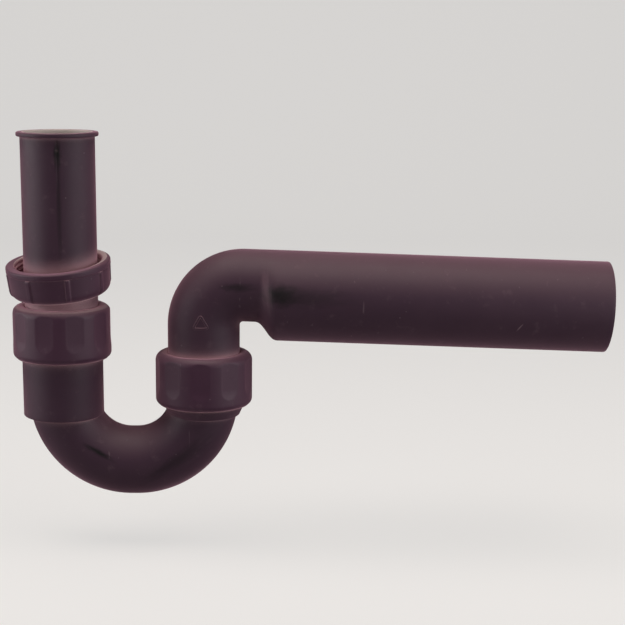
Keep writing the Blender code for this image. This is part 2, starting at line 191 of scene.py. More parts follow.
def mark_or_painted_shade(tree, place, under, film, centre, half, tilt, tone, strength):
    """Lays a soft, ragged mark, or a patch of painted shade or painted highlight, over the colour under,
    and wipes the dust film there.

    centre and half, the mark's reach from its centre, are in mm. tilt turns it about Y, in degrees.
    """
    sockets = {
        "Vector": place,
        "Location": [length * MM for length in centre],
        "Rotation": (0, math.radians(tilt), 0),
        "Scale": [length * MM for length in half],
    }
    local = add_node(tree, "ShaderNodeMapping", sockets, vector_type="TEXTURE").outputs[0]
    cloud = {"Vector": local, "Scale": MARK_RAGGEDNESS, "Detail": 4.0}
    ragged = add_node(tree, "ShaderNodeTexNoise", cloud).outputs["Fac"]
    distance = add_node(tree, "ShaderNodeVectorMath", {0: local}, operation="LENGTH").outputs["Value"]
    reach = calculated(tree, "ADD", distance, ragged)
    share = stretched(tree, reach, *MARK_RANGE, strength, 0.0, interpolation_type="SMOOTHSTEP")
    left = calculated(tree, "SUBTRACT", 1.0, share)
    return mixed(tree, share, under, linear(tone)), calculated(tree, "MULTIPLY", film, left)


def in_mouth(tree, place, radius, foot, top):
    """From 0 at foot to 1 at top within radius of the Z axis, and 0 outside it. All in mm."""
    level = add_node(tree, "ShaderNodeVectorMath", {0: place, 1: (1, 1, 0)}, operation="MULTIPLY")
    off_axis = add_node(tree, "ShaderNodeVectorMath", {0: level.outputs[0]}, operation="LENGTH")
    inside = calculated(tree, "LESS_THAN", off_axis.outputs["Value"], radius * MM)
    height = add_node(tree, "ShaderNodeSeparateXYZ", {0: place}).outputs["Z"]
    return calculated(tree, "MULTIPLY", inside, stretched(tree, height, foot * MM, top * MM))


def satin_polypropylene(name, tone, drift, sheen, marks_and_painted_shade, mouth):
    """Injection-moulded polypropylene with a spark-eroded satin surface.

    sheen is its least roughness. mouth gives the radius, foot and top of the mouth that is painted pale:
    painted light.
    """
    finish = bpy.data.materials.new(name)
    finish.use_nodes = True
    tree = finish.node_tree
    shader = tree.nodes["Principled BSDF"]
    spot = add_node(tree, "ShaderNodeTexCoord").outputs
    place = spot["Object"]

    flow = noise(tree, place, FLOW, 3.0)
    colour = mixed(tree, stretched(tree, flow, *FLOW_RANGE), linear(tone), linear(drift))
    rubs = noise(tree, place, RUB, 6.0, 0.7)
    colour = mixed(tree, stretched(tree, rubs, *RUB_RANGE, most=RUB_SHARE), colour, RUBBED)

    dust = add_node(tree, "ShaderNodeTexVoronoi", {"Vector": place, "Scale": per_metre(SPECK)})
    draw = add_node(tree, "ShaderNodeSeparateColor", {"Color": dust.outputs["Color"]}).outputs["Red"]
    few = calculated(tree, "GREATER_THAN", draw, SPECK_DRAW)
    near = stretched(tree, dust.outputs["Distance"], *SPECK_RANGE, most=SPECK_SHARE)
    colour = mixed(tree, calculated(tree, "MULTIPLY", few, near), colour, SPECKLED)

    slant = {"Vector": place, "Rotation": SCRATCH_TURN, "Scale": SCRATCH_STRETCH}
    drawn = add_node(tree, "ShaderNodeMapping", slant).outputs[0]
    scratch = stretched(tree, noise(tree, drawn, SCRATCH, 2.0), *SCRATCH_RANGE, most=SCRATCH_SHARE)
    colour = mixed(tree, scratch, colour, SCRATCHED)

    # paler the more a face looks up
    upward = add_node(tree, "ShaderNodeSeparateXYZ", {0: spot["Normal"]}).outputs["Z"]
    upward_pale = stretched(tree, upward, *UPWARD_RANGE, most=UPWARD_SHARE)
    colour = mixed(tree, upward_pale, colour, UPWARD_PALE)
    film = DUST_FILM
    # each mark lays wear, painted shade or a painted highlight, and wipes the film
    for mark in marks_and_painted_shade:
        colour, film = mark_or_painted_shade(tree, place, colour, film, *mark)
    # painted light: the mouth is painted pale from its foot to its top
    painted_mouth_glow = calculated(tree, "MULTIPLY", in_mouth(tree, place, *mouth), MOUTH_GLOW_SHARE)
    colour = mixed(tree, painted_mouth_glow, colour, MOUTH_PAINTED_GLOW)
    # painted light: the crevices that ambient occlusion finds are painted pale
    nook = add_node(tree, "ShaderNodeAmbientOcclusion", {"Distance": NOOK * MM}, samples=8).outputs["AO"]
    painted_nook_glow = stretched(tree, nook, *NOOK_RANGE, most=NOOK_SHARE)
    colour = mixed(tree, painted_nook_glow, colour, NOOK_PAINTED_GLOW)
    tree.links.new(colour, shader.inputs["Base Color"])
    tree.links.new(film, shader.inputs["Sheen Weight"])
    shader.inputs["Sheen Roughness"].default_value = FILM_ROUGHNESS
    shader.inputs["Sheen Tint"].default_value = FILM_TINT

    gloss = stretched(tree, rubs, *GLOSS_RANGE, sheen, sheen + ROUGHNESS_DRIFT)
    tree.links.new(gloss, shader.inputs["Roughness"])
    bumps = noise(tree, place, GRAIN, 3.0)
    grain = {"Height": bumps, "Strength": GRAIN_STRENGTH, "Distance": GRAIN_DEPTH * MM}
    relief = add_node(tree, "ShaderNodeBump", grain)
    tree.links.new(relief.outputs[0], shader.inputs["Normal"])
    shader.inputs["IOR"].default_value = POLYPROPYLENE_IOR
    shader.inputs["Metallic"].default_value = 0
    return finish


pipe_marks_and_painted_shade = [  # centre, reach, tilt, tone, strength
    ((121.6, -24, -85.0), (12, 10, 7.0), 0, "#0a0508", 1.0),  # painted shade: the dark patch behind the widening, a painted reflection
    ((135, -24, -86.0), (30, 10, 6.0), 1.7, "#22121c", 0.55),  # its painted shade's tail along the pipe
    ((98, -19, -81.3), (12, 9, 2.8), 0, "#1c0f18", 0.8),  # painted shade: the dark line on the neck
    ((2.7, -20, -38), (1.7, 2, 38), 0, "#1c0f18", 0.6),  # darker along the mould line
    ((2.4, -20, -10.6), (2.6, 2, 10), 0, "#0a0508", 1.0),  # and darkest at its upper end
    ((20.8, -19, -174.1), (11, 6, 1.8), 30, "#0a0508", 1.0),  # painted reflection: the dark crescent on the bend
    ((63.8, -19, -179), (26, 8, 5), -36, "#1c0f18", 0.5),  # painted reflection: the soft dark band round the bend
    ((113.3, -22, -83), (3.2, 9, 16), -6, "#7a5a66", 0.45),  # painted highlight: the pale band on the shoulder
    ((250.5, -23, -101.7), (0.5, 3, 3.4), 37, "#9c8088", 0.6),  # the scratch near the pipe's end
]
nut_marks = [((3, -25, -95.5), (0.7, 1.5, 0.7), 0, "#2a1822", 0.8)]  # the speck on the crown
tube_mouth = (19.2, -14, -1)
union_mouth = (25.6, -97, -88)
pipe_plastic = satin_polypropylene(
    "satin_moulded_polypropylene_pipe", "#3d2437", "#41283a", 0.54, pipe_marks_and_painted_shade, tube_mouth
)
nut_plastic = satin_polypropylene(
    "satin_moulded_polypropylene_nut", "#47283e", "#4b2c41", 0.48, nut_marks, union_mouth
)
print("made", pipe_plastic.name, "and", nut_plastic.name)

# %% [markdown]
# Polyethylene and rubber inside the clamp joints
# Under each clamp nut lies a loose polyethylene ring, and below it a rubber wedge seal. They show once a
# nut is unscrewed. Polyethylene is milky and waxy. Rubber is nearly black, dull, and greyed by talc in
# its pores. A fine cloudy pattern lets the tone and the roughness of both drift. Both keep their CAD
# shapes, which are plain rings on the real trap too, and only take a finish.

# %% Make the ring's and the seal's finishes
ROUGHNESS_SPREAD = 0.05


def moulded_ring_finish(name, tone, pale, roughness, ior, grain):
    """A plain moulded ring's finish, whose tone and roughness drift over grain millimetres."""
    finish = bpy.data.materials.new(name)
    finish.use_nodes = True
    tree = finish.node_tree
    shader = tree.nodes["Principled BSDF"]
    place = add_node(tree, "ShaderNodeTexCoord").outputs["Object"]
    cloud = noise(tree, place, grain, 5.0)
    body = mixed(tree, stretched(tree, cloud, 0.35, 0.7), linear(tone), linear(pale))
    tree.links.new(body, shader.inputs["Base Color"])
    dull = stretched(tree, cloud, 0, 1, roughness - ROUGHNESS_SPREAD, roughness + ROUGHNESS_SPREAD)
    tree.links.new(dull, shader.inputs["Roughness"])
    relief = add_node(tree, "ShaderNodeBump", {"Height": cloud, "Strength": 0.15, "Distance": 0.1 * MM})
    tree.links.new(relief.outputs[0], shader.inputs["Normal"])
    shader.inputs["IOR"].default_value = ior
    return finish


ring_plastic = moulded_ring_finish("waxy_moulded_polyethylene", "#c9c4ba", "#d8d4cc", 0.42, 1.51, 1.5)
seal_rubber = moulded_ring_finish("talced_moulded_rubber", "#222122", "#37363a", 0.75, 1.52, 0.8)
for node, finish in (
    ("inlet_slip_ring", ring_plastic),
    ("outlet_slip_ring", ring_plastic),
    ("inlet_seal", seal_rubber),
    ("outlet_seal", seal_rubber),
):
    for material_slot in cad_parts[node].material_slots:
        material_slot.material = finish
    print(node, "is now", finish.name)

# %% [markdown]
# Helpers for mouldings
# Almost every piece of a trap is round, hollow and closed: a section carried round an axis or along a
# path. Blender's Spin or Screw would turn a section too, but flats, ribs and threads then need Booleans,
# which leave hard edges. Here a piece is a net of points instead: rows run down its outside and up its
# inside, columns run round it, and a small function moves the points in or out to shape the flats, ribs
# and threads. The net closes on itself both ways, so each piece is one watertight skin.

# %% Net helpers
FULL_TURN = 2 * math.pi
CREASE = math.radians(40)  # edges sharper than this stay crisp


def round_edge(centre, radius, start, end, steps=6):
    """(radius, height) points of a rounded edge, from start to end in degrees about its centre."""
    across_centre, up_centre = centre
    angles = np.radians(np.linspace(start, end, steps + 1))
    return [(across_centre + radius * math.cos(a), up_centre + radius * math.sin(a)) for a in angles]


def finely(section, gap):
    """The same section, with more points wherever two stand further apart than gap."""
    fine = [section[0]]
    for one, other in zip(section, section[1:]):
        steps = max(1, math.ceil(math.dist(one, other) / gap))
        fine += [tuple(np.array(one) + (np.array(other) - one) * i / steps) for i in range(1, steps + 1)]
    return fine


def turned(section, columns, shape=None):
    """Rows of points: a section turned round the Z axis. shape(radius, height, turn) gives new radii."""
    lengths = np.array(section, float).T
    radius, height = (np.repeat(line[:, None], len(columns), 1) for line in lengths)
    turn = np.repeat(columns[None, :], len(section), 0)
    if shape:
        radius = shape(radius, height, turn)
    return np.stack([radius * np.cos(turn), radius * np.sin(turn), height], -1)


def all_round(count):
    """count angles, evenly spread round the axis."""
    return np.linspace(0, FULL_TURN, count, endpoint=False)


def ease(share):
    """From 0 to 1 with level ends."""
    share = np.clip(share, 0, 1)
    return share * share * (3 - 2 * share)


def moulding(name, rows, body, node, finish):
    """Skins the rows of points, hangs the piece on its body and lets it stand for the CAD node."""
    here = np.arange(rows.shape[0] * rows.shape[1]).reshape(rows.shape[:2])
    beside, below = np.roll(here, -1, 1), np.roll(here, -1, 0)
    faces = np.stack([here, below, np.roll(below, -1, 1), beside], -1).reshape(-1, 4)
    mesh = bpy.data.meshes.new(name)
    mesh.from_pydata((rows.reshape(-1, 3) * MM).tolist(), [], faces.tolist())
    mesh.shade_smooth()
    mesh.set_sharp_from_angle(angle=CREASE)
    mesh.materials.append(finish)
    piece = bpy.data.objects.new(name, mesh)
    bpy.context.scene.collection.objects.link(piece)
    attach(piece, body)
    if node:
        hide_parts(node)
    print(name, "has", 2 * len(faces), "triangles")


# %% [markdown]
# The tail tube
# The tail tube is the plain pipe that hangs from the waste outlet. A flat rim on top presses on the
# outlet's gasket. It came out of a two-part mould, which leaves a fine line down its front, with a nick
# where the plastic was cut from its runner. The line is a shallow groove, narrower than a column of the
# net, so more columns are set there.

# %% Turn the tail tube
TUBE_RADIUS, TUBE_WALL, TUBE_LENGTH = 20.25, 1.8, 144.8
RIM_RADIUS, RIM_HEIGHT, RIM_ROUND = 22.3, 2.4, 0.8
MOULD_LINE = math.radians(-83.5)
MOULD_LINE_WIDTH = 0.9
MOULD_LINE_DEPTH = 0.14
MOULD_LINE_FOOT = -34.0
NICK_Z, NICK_SIZE, NICK_DEPTH = -8.6, 1.5, 0.35


def with_mould_line(radius, height, turn):
    """Sinks the mould line into the outside, and the nick on it."""
    aside = (turn - MOULD_LINE) % FULL_TURN
    aside = np.minimum(aside, FULL_TURN - aside) * TUBE_RADIUS
    fades = ease((height - MOULD_LINE_FOOT) / 12) * ease((-RIM_HEIGHT - 0.8 - height) / 1.5)
    line = MOULD_LINE_DEPTH * fades * (1 - ease(aside / MOULD_LINE_WIDTH))
    nick = NICK_DEPTH * (1 - ease(np.hypot(aside, height - NICK_Z) / NICK_SIZE))
    return radius - np.where(radius > TUBE_RADIUS - 0.1, line + nick, 0)


bore = TUBE_RADIUS - TUBE_WALL
rim_top, rim_foot = (RIM_RADIUS - RIM_ROUND, -RIM_ROUND), (RIM_RADIUS - RIM_ROUND, RIM_ROUND - RIM_HEIGHT)
outside = round_edge(rim_top, RIM_ROUND, 90, 0) + round_edge(rim_foot, RIM_ROUND, 0, -90)
outside += round_edge((TUBE_RADIUS + 0.5, -RIM_HEIGHT - 0.5), 0.5, 90, 180, 4)
outside = finely(outside + [(TUBE_RADIUS, -RIM_HEIGHT - 12), (TUBE_RADIUS, MOULD_LINE_FOOT)], 0.6)
outside += finely([(TUBE_RADIUS, MOULD_LINE_FOOT - 1), (TUBE_RADIUS, 0.8 - TUBE_LENGTH)], 4)
outside += [(TUBE_RADIUS - 0.3, 0.2 - TUBE_LENGTH), (TUBE_RADIUS - 0.8, -TUBE_LENGTH)]
inside = [(bore + 0.3, -TUBE_LENGTH), (bore, 0.3 - TUBE_LENGTH)]
inside += finely([(bore, 1 - TUBE_LENGTH), (bore, -1)], 6)
inside += [(bore, -0.4), (bore + 0.12, -0.12), (bore + 0.4, 0)]
beside_line = MOULD_LINE + np.linspace(-1.3, 1.3, 15) / TUBE_RADIUS
columns = np.sort(np.concatenate([all_round(168), beside_line % FULL_TURN]))
rows = turned(outside + inside, columns, with_mould_line)
moulding("tail_tube", rows, "inlet_tube", "inlet_tube", pipe_plastic)

# %% [markdown]
# Threads
# Each socket has a coarse moulded thread, and its clamp nut the same thread inside, a little wider. Both
# come from one function of height and turn, so they mesh wherever the nut stands: a right-handed thread
# repeats when it turns once and rises by its pitch. A modifier such as Screw could wind a thread, but it
# would be a separate strip to join. Here the wall itself goes in and out.

# %% Define the threads
CLAMP_PITCH = 3.5
CLAMP_THREAD_DEPTH = 1.2
THREAD_LENGTH = 15.5
UNION_PITCH = 2.309
UNION_THREAD_DEPTH = 0.7  # the real one is 1.5 mm deep: the cocked nut would then touch the tube here
SLACK = 0.3


def thread_groove(height, turn, pitch):
    """0 on a right-handed thread's crest and 1 in its root, with slanted flanks."""
    phase = (height / pitch - turn / FULL_TURN) % 1
    return np.clip(4 * np.abs(phase - 0.5) - 0.5, 0, 1)


def fade_between(height, foot, top, run):
    """1 between foot and top, easing to 0 over run at each end."""
    return ease((height - foot) / run) * ease((top - height) / run)


print("the clamp thread has", round(THREAD_LENGTH / CLAMP_PITCH, 1), "turns")

# %% [markdown]
# The union nut
# This loose nut pulls the tail tube's rim against the waste outlet. Its mouth looks up, and it hangs
# cocked on the tube. Round its top runs a plain band, and below it eight narrow ribs give the fingers a
# hold. The ribs are made by moving a few columns out, so they run out softly into the rounded foot as
# moulded ones do.

# %% Net the union nut
UNION_HEIGHT, UNION_FLANGE = 18.0, 2.6
UNION_TOP_RADIUS, UNION_SKIRT_RADIUS = 28.8, 27.7
UNION_FOOT_RADIUS, UNION_MOUTH_RADIUS = 23.6, 23.9
UNION_BAND, UNION_BAND_STEP = 3.4, 0.5
UNION_FOOT_ROUND, UNION_TOP_ROUND = 5.0, 1.0
UNION_RIBS, UNION_RIB_WIDTH, UNION_RIB_PROUD = 8, 3.0, 0.6
UNION_RIB_SIDE, UNION_RIB_FADE = 0.5, 2.4  # over which its sides rise and its foot runs out
UNION_RIB_TURN = math.radians(15.5)
UNION_TILT = (math.radians(7.5), math.radians(-3.9))
UNION_Z = -86.6
foot = -UNION_FLANGE / 2
top = foot + UNION_HEIGHT
band = top - UNION_BAND


def with_ribs(radius, height, turn):
    """Moves a rib's columns out, from just under the band down to the rounded foot."""
    bay = FULL_TURN / UNION_RIBS
    aside = np.abs((turn - UNION_RIB_TURN + math.pi / 2 + bay / 2) % bay - bay / 2) * UNION_SKIRT_RADIUS
    rib = 1 - ease((aside - UNION_RIB_WIDTH / 2 + UNION_RIB_SIDE) / UNION_RIB_SIDE)
    run = ease((band - 0.15 - height) / UNION_RIB_SIDE) * ease((height - foot - 0.4) / UNION_RIB_FADE)
    return radius + UNION_RIB_PROUD * rib * run


def with_union_thread(radius, height, turn):
    """Moves the mouth's wall in to the thread's crests."""
    cut = fade_between(height, foot + UNION_FLANGE + 1, top - 1.2, 1.5)
    return radius - UNION_THREAD_DEPTH * cut * (1 - thread_groove(height, turn, UNION_PITCH))


tilt = math.acos(math.cos(UNION_TILT[0]) * math.cos(UNION_TILT[1]))
hole = (TUBE_RADIUS + SLACK + UNION_FLANGE / 2 * math.sin(tilt)) / math.cos(tilt)
under_band = UNION_TOP_RADIUS - UNION_BAND_STEP
skirt_centre = (UNION_SKIRT_RADIUS - UNION_FOOT_ROUND, foot + UNION_FOOT_ROUND)
outside = round_edge((UNION_TOP_RADIUS - UNION_TOP_ROUND, top - UNION_TOP_ROUND), UNION_TOP_ROUND, 90, 0, 8)
outside += finely([(UNION_TOP_RADIUS, top - 1.4), (UNION_TOP_RADIUS, band + 0.5)], 0.6)
outside += [(UNION_TOP_RADIUS - 0.03, band + 0.3), (UNION_TOP_RADIUS - 0.18, band + 0.12)]
outside += [(under_band + 0.06, band)]
outside += finely([(under_band, band - 0.1), (UNION_SKIRT_RADIUS, foot + UNION_FOOT_ROUND)], 0.4)
outside += round_edge(skirt_centre, UNION_FOOT_ROUND, -6, -72, 11)
outside += [(UNION_FOOT_RADIUS - 0.2, foot + 0.06), (UNION_FOOT_RADIUS - 0.6, foot), (hole + 0.5, foot)]
outside += round_edge((hole + 0.4, foot + 0.4), 0.4, 270, 180, 3) + [(hole, foot + UNION_FLANGE - 0.3)]
outside += [(hole + 0.3, foot + UNION_FLANGE), (UNION_MOUTH_RADIUS - 0.5, foot + UNION_FLANGE)]
mouth = finely([(UNION_MOUTH_RADIUS, foot + UNION_FLANGE + 0.5), (UNION_MOUTH_RADIUS, top - 1.2)], 0.28)
mouth += round_edge((UNION_MOUTH_RADIUS + 1, top - 1), 1, 180, 90, 6)
columns = all_round(400)
rows = np.concatenate([turned(outside, columns, with_ribs), turned(mouth, columns, with_union_thread)])
cocked = np.array(Euler((*UNION_TILT, 0)).to_matrix())
rows = rows @ cocked.T + np.array((0, 0, UNION_Z))
moulding("captive_union_nut", rows, "union_nut", "union_nut", nut_plastic)

# %% [markdown]
# The clamp nuts
# A clamp nut screws down over the socket and squeezes the seal against the pipe. It has a domed crown and
# ten soft flats for a wrench, which end in an arch under the crown and narrow as they run out into the
# round above the foot. Cutting the flats with a box gives razor edges. Here the wall moves in to the
# flat, and along the flat's sides it does so over a millimetre, which gives edges rounded as the mould's
# are.

# %% Net the clamp nuts
NUT_HEIGHT, NUT_WALL, NUT_FLANGE, NUT_HOLE_SLACK = 29.5, 2.5, 3.0, 0.35
CROWN_ROUND, CROWN_SWEEP, HEEL_ROUND = 4.6, 80, 3.4
FLATS, FLAT_DEPTH, FLAT_WIDTH, FLAT_SIDE, FLAT_FOOT, FLAT_FADE = 10, 0.55, 9.8, 1.0, 4.6, 8.0
NUT_TOP_ABOVE_MOUTH = 7.2
BEND_TOP, ARM_SPACING = -145.1, 78.8
LEG_RADIUS = 20.0
SOCKET_OVER_PIPE, THREAD_PROUD = 2.15, 2.0
INLET_MOUTH, OUTLET_MOUTH = BEND_TOP + 43.6, BEND_TOP + 17.7


def clamp_nut(x, mouth_z, pipe_radius, turned_by, node):
    """Nets a clamp nut round the arm at x. turned_by turns its flats, in degrees."""
    crest = pipe_radius + SOCKET_OVER_PIPE + THREAD_PROUD
    root = crest + SLACK
    radius = root + NUT_WALL
    hole = pipe_radius + NUT_HOLE_SLACK
    top = mouth_z + NUT_TOP_ABOVE_MOUTH
    foot = top - NUT_HEIGHT

    def with_flats(around, height, turn):
        step = FULL_TURN / FLATS
        aside = (turn - math.radians(turned_by) + math.pi / 2 + step / 2) % step - step / 2
        rise = np.sin(math.pi / 2 * np.clip((height - foot - FLAT_FOOT) / FLAT_FADE, 0, 1))
        flat = (radius + SLACK - (FLAT_DEPTH + SLACK) * rise) / np.cos(aside)
        within = 1 - ease((np.abs(aside) * radius - FLAT_WIDTH / 2 * np.sqrt(rise)) / FLAT_SIDE + 0.5)
        return around - within * np.maximum(around - flat, 0)

    def with_thread(around, height, turn):
        cut = fade_between(height, foot + 0.8, top - NUT_FLANGE - 3.5, 1.5)
        return around - CLAMP_THREAD_DEPTH * cut * (1 - thread_groove(height - mouth_z, turn, CLAMP_PITCH))

    crown = round_edge((radius - CROWN_ROUND, top - CROWN_ROUND), CROWN_ROUND, CROWN_SWEEP, 0, 16)
    heel = round_edge((radius - HEEL_ROUND, foot + HEEL_ROUND), HEEL_ROUND, 0, -70, 10)
    lip = crown[0][1] - 0.25
    outside = [(hole, lip - 0.5), (hole + 0.1, lip - 0.12)]
    outside += [(hole + 0.4, lip + 0.05), (hole + 0.9, lip + 0.14)]
    outside += finely(crown, 0.45) + finely([crown[-1], heel[0]], 0.55)[1:] + finely(heel, 0.4)[1:]
    outside += [(root + 0.45, foot + 0.02), (root + 0.2, foot + 0.1)]
    inside = finely([(root, foot + 0.4), (root, top - NUT_FLANGE - 0.4)], 0.4)
    under = top - NUT_FLANGE
    inside += [(root - 0.4, under), (hole + 0.4, under), (hole, under + 0.3)]
    columns = all_round(280)
    rows = np.concatenate([turned(outside, columns, with_flats), turned(inside, columns, with_thread)])
    rows += np.array((x, 0, 0))
    moulding(node + "_moulding", rows, node, node, nut_plastic)


clamp_nut(0, INLET_MOUTH, TUBE_RADIUS, 22.3, "inlet_clamp_nut")
clamp_nut(ARM_SPACING, OUTLET_MOUTH, LEG_RADIUS, -2.1, "outlet_clamp_nut")

# %% [markdown]
# The U-bend
# The bend holds the water. It is one moulding: a long threaded socket on the inlet arm, the bend, and a
# short threaded socket on the outlet arm that tapers on to it. The bend curves while the sockets run
# straight, so the sockets' feet stand proud unevenly. A union by Boolean would leave slivers there.
# Instead, each column goes down the socket's wall, steps in along its foot, and goes on down the bend
# from wherever it meets it.

# %% Net the U-bend
BEND_RADIUS, BEND_FLOOR, BEND_TUBE, BEND_WALL = 37.9, 3.0, 19.2, 2.0
SKIRT_DROP, SKIRT_ROUND = 11.5, 0.8
TAPER_DROP, TAPER_RUN = 6.0, 4.5
THREAD_RUN_OUT = 1.6
SKIN_BLEND = 0.5
SEAL_HEIGHT, SEAL_PROUD, SEAL_TOP_WALL, SEAL_FOOT_WALL, BORE_SLACK = 7.5, 0.8, 2.6, 0.7, 0.45
columns = all_round(216)
inward, sideways = np.cos(columns), np.sin(columns)  # inward looks at the bend's centre


def bend_row(angle, radius):
    """One row across the bend, angle radians down from the arm's end. angle may differ by column."""
    reach = BEND_RADIUS - radius * inward
    x, z = BEND_RADIUS - reach * np.cos(angle), BEND_TOP - reach * np.sin(angle)
    return np.stack([x, radius * sideways, z], -1)


def angle_at(drop, radius):
    """How far round the bend each column has come where it is drop below the arm's end."""
    return np.arcsin(drop / (BEND_RADIUS - radius * inward))


def half_bend(radius, start, steps):
    """Rows from start, an angle for each column, to the bottom of the bend."""
    return [bend_row(start + (math.pi / 2 - start) * i / steps, radius) for i in range(1, steps + 1)]


def socket_rows(section):
    """A socket's rows, drawn in to the bend's skin wherever that stands further out."""
    rows = []
    for around, height in section:
        wall = np.stack([around * inward, around * sideways, np.full(len(columns), height)], -1)
        drop = BEND_TOP - height
        if drop > 0:
            skin = bend_row(angle_at(drop, BEND_TUBE), BEND_TUBE)
            reach = np.hypot(skin[:, 0], skin[:, 1])
            share = ease((reach - around) / SKIN_BLEND + 0.5)[:, None]
            wall = wall * (1 - share) + skin * share
        rows.append(wall)
    return rows


def socket_wall(mouth_z, pipe_radius):
    """The threaded barrel and the plain one below it, from the mouth down to the arm's end."""
    plain = pipe_radius + SOCKET_OVER_PIPE
    crest = plain + THREAD_PROUD
    thread_foot = mouth_z - THREAD_LENGTH

    def with_thread(around, height, turn):
        cut = fade_between(height, thread_foot + 0.4, mouth_z - 0.4, 1.4)
        return around - CLAMP_THREAD_DEPTH * cut * thread_groove(height - mouth_z, turn, CLAMP_PITCH)

    section = round_edge((crest - 0.8, mouth_z - 0.8), 0.8, 90, 0, 4)
    section += finely([(crest, mouth_z - 1), (crest, thread_foot)], 0.4)
    foot = thread_foot - THREAD_RUN_OUT
    section += [(plain + 0.35, foot + 0.3), (plain + 0.08, foot - 0.1)]
    section += finely([(plain, foot - 0.5), (plain, BEND_TOP)], 3)
    return list(turned(section, columns, with_thread))


def socket_bore(mouth_z, pipe_radius):
    """The socket's inside, from the arm's end up to the mouth: the bore, the seal's seat and its cone."""
    bore = pipe_radius + BORE_SLACK
    seat = pipe_radius + SLACK * 2
    seat_z = mouth_z + SEAL_PROUD - SEAL_HEIGHT - SLACK
    wide = seat + SEAL_TOP_WALL
    cone_foot = seat + SEAL_FOOT_WALL
    section = [(bore, BEND_TOP), (bore, seat_z - 0.3), (bore + 0.2, seat_z), (cone_foot, seat_z)]
    section += finely([(cone_foot, seat_z + 0.1), (wide, mouth_z - 0.4)], 2) + [(wide + 0.3, mouth_z)]
    return list(turned(section, columns))


def mirrored(rows):
    """The same rows on the outlet arm. The columns swap round so that the net stays in step."""
    return [row * np.array((-1, 1, 1)) + np.array((ARM_SPACING, 0, 0)) for row in rows]


skirt_z = BEND_TOP - SKIRT_DROP
plain = TUBE_RADIUS + SOCKET_OVER_PIPE
skirt = finely([(plain, BEND_TOP - 1), (plain, skirt_z + SKIRT_ROUND)], 2)
skirt += round_edge((plain - SKIRT_ROUND, skirt_z + SKIRT_ROUND), SKIRT_ROUND, -15, -80, 5)
skirt += [(plain - 0.9 - 0.4 * i, skirt_z - 0.02 * i) for i in range(14)]
inlet_side = socket_wall(INLET_MOUTH, TUBE_RADIUS) + socket_rows(skirt)
inlet_side += half_bend(BEND_TUBE, angle_at(BEND_TOP - skirt[-1][1] + 0.2, BEND_TUBE), 34)

plain = LEG_RADIUS + SOCKET_OVER_PIPE
lap_z = BEND_TOP - TAPER_DROP - TAPER_RUN
taper = finely([(plain, BEND_TOP - 1), (plain, BEND_TOP - TAPER_DROP + 0.3)], 1.5)
taper += finely([(plain - 0.06, BEND_TOP - TAPER_DROP), (BEND_TUBE + 0.8, lap_z)], 0.45)
taper += [(BEND_TUBE + 0.65 - 0.3 * i, lap_z - 0.12 - 0.02 * i) for i in range(14)]
outlet_side = socket_wall(OUTLET_MOUTH, LEG_RADIUS) + socket_rows(taper)
outlet_side += half_bend(BEND_TUBE, angle_at(BEND_TOP - taper[-1][1] + 0.2, BEND_TUBE), 34)

hollow = BEND_TUBE - BEND_WALL
inner_half = [bend_row(np.zeros(len(columns)), hollow)] + half_bend(hollow, np.zeros(len(columns)), 24)
rows = inlet_side + mirrored(outlet_side)[::-1]
rows += mirrored(socket_bore(OUTLET_MOUTH, LEG_RADIUS))[::-1] + mirrored(inner_half)
rows += inner_half[::-1] + socket_bore(INLET_MOUTH, TUBE_RADIUS)
moulding("u_bend_moulding", np.array(rows), "u_bend", "u_bend", pipe_plastic)

# %% [markdown]
# The outlet elbow and its long pipe
# One moulding again: a leg that slides into the outlet socket, a tight elbow, a short neck, and a
# widening that keeps the top flush and drops the underside in an S on to the long pipe. A path with a
# Bevel would keep one radius and couldn't move off centre, so the rows are set across the path one by
# one, each with its own centre, heading and radius.

# %% Net the outlet elbow
LEG_ABOVE_SOCKET, ELBOW_RADIUS, OUTLET_WALL = 40.05, 22.0, 2.0
FALL = math.radians(1.7)
NECK, WIDENING, PIPE_RADIUS, PIPE_LENGTH = 5.6, 14.0, 25.0, 180.5
ELBOW_ROWS, WIDENING_ROWS = 44, 40


def across(x, z, heading, radius, columns):
    """A row round a path's point. heading is the flow's, and the columns start on the flow's right."""
    side = np.array((math.sin(heading), 0, -math.cos(heading)))
    offset = np.cos(columns)[:, None] * side + np.sin(columns)[:, None] * np.array((0, 1, 0))
    return np.array((x, 0, z)) + radius * offset


